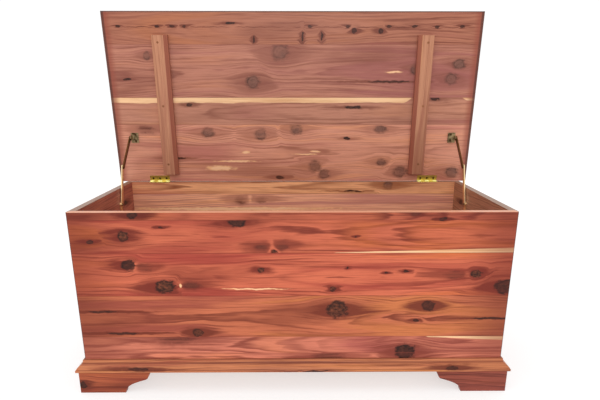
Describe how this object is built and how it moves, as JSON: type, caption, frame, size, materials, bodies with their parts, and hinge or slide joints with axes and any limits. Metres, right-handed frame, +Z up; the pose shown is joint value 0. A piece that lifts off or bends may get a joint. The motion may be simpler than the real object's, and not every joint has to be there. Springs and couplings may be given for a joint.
{
  "type": "cedar blanket chest",
  "caption": "Rectangular wooden storage chest with a lift-up lid on butt hinges, folding lid stays, a base moulding and ogee bracket feet.",
  "frame": {"origin": "on the floor, at the middle of the whole chest with its lid open", "axes": "+X along the front, from left to right; +Y from the front to the back; +Z up"},
  "size_m": [1.166, 0.5372, 1.0139],
  "materials": {
    "cedar_front": "satin clear finish",
    "cedar_walls": "satin clear finish",
    "cedar_lid": "satin clear finish",
    "cedar_battens": "satin clear finish",
    "cedar_base": "satin clear finish",
    "cedar_inner": "bare sawn wood",
    "brass": "satin, lightly tarnished",
    "rivet_steel": "dull plated"
  },
  "bodies": {
    "case": {"front_board_1": "cedar_front", "front_board_2": "cedar_front", "front_board_3": "cedar_front", "front_board_4": "cedar_front", "front_board_5": "cedar_front", "front_board_6": "cedar_front", "back_board_1": "cedar_walls", "back_board_2": "cedar_walls", "back_board_3": "cedar_walls", "left_board_1": "cedar_walls", "left_board_2": "cedar_walls", "left_board_3": "cedar_walls", "right_board_1": "cedar_walls", "right_board_2": "cedar_walls", "right_board_3": "cedar_walls", "bottom_panel": "cedar_inner", "bottom_cleat_front": "cedar_inner", "bottom_cleat_back": "cedar_inner", "bottom_cleat_left": "cedar_inner", "bottom_cleat_right": "cedar_inner", "moulding_front": "cedar_base", "moulding_left": "cedar_base", "moulding_right": "cedar_base", "foot_front_left_face": "cedar_base", "foot_front_left_side": "cedar_base", "foot_front_right_face": "cedar_base", "foot_front_right_side": "cedar_base", "foot_rear_left_side": "cedar_base", "foot_rear_right_side": "cedar_base", "foot_rear_left_back": "cedar_inner", "foot_rear_right_back": "cedar_inner", "foot_glue_blocks": "cedar_inner", "hinge_left_box_leaf": "brass", "hinge_right_box_leaf": "brass", "hinge_pins": "rivet_steel", "case_screws": "brass", "stay_left_wall_plate": "brass", "stay_right_wall_plate": "brass", "stay_wall_rivets": "rivet_steel"},
    "lid": {"lid_board_1": "cedar_lid", "lid_board_2": "cedar_lid", "lid_board_3": "cedar_lid", "lid_board_4": "cedar_lid", "batten_left": "cedar_battens", "batten_right": "cedar_battens", "batten_screws": "rivet_steel", "hinge_left_lid_leaf": "brass", "hinge_right_lid_leaf": "brass", "lid_screws": "brass", "stay_left_lid_bracket": "brass", "stay_right_lid_bracket": "brass", "stay_lid_rivets": "rivet_steel"},
    "left_lower_arm": {"stay_left_lower_arm": "brass", "stay_left_knuckle_rivet": "rivet_steel"},
    "left_upper_arm": {"stay_left_upper_arm": "brass", "stay_left_knuckle_cap": "rivet_steel"},
    "right_lower_arm": {"stay_right_lower_arm": "brass", "stay_right_knuckle_rivet": "rivet_steel"},
    "right_upper_arm": {"stay_right_upper_arm": "brass", "stay_right_knuckle_cap": "rivet_steel"}
  },
  "joints": [
    {"name": "lid_hinge", "type": "hinge", "parent": "case", "child": "lid", "pos_m": [0, 0.24953, 0.4931], "axis": [1, 0, 0], "range_deg": [0, 86]},
    {"name": "left_lower_arm_pivot", "type": "hinge", "parent": "case", "child": "left_lower_arm", "pos_m": [-0.5357, 0.09943, 0.443], "axis": [1, 0, 0], "range_deg": [0, 99]},
    {"name": "left_upper_arm_pivot", "type": "hinge", "parent": "lid", "child": "left_upper_arm", "pos_m": [-0.5323, 0.2296, 0.63616], "axis": [1, 0, 0], "range_deg": [-124, 0]},
    {"name": "right_lower_arm_pivot", "type": "hinge", "parent": "case", "child": "right_lower_arm", "pos_m": [0.5357, 0.09943, 0.443], "axis": [1, 0, 0], "range_deg": [0, 99]},
    {"name": "right_upper_arm_pivot", "type": "hinge", "parent": "lid", "child": "right_upper_arm", "pos_m": [0.5323, 0.2296, 0.63616], "axis": [1, 0, 0], "range_deg": [-124, 0]}
  ],
  "couplings": [
    {"joint": "left_lower_arm_pivot", "follows": "lid_hinge", "ratio": 1.1019},
    {"joint": "left_upper_arm_pivot", "follows": "lid_hinge", "ratio": -1.4353},
    {"joint": "right_lower_arm_pivot", "follows": "lid_hinge", "ratio": 1.1019},
    {"joint": "right_upper_arm_pivot", "follows": "lid_hinge", "ratio": -1.4353}
  ]
}
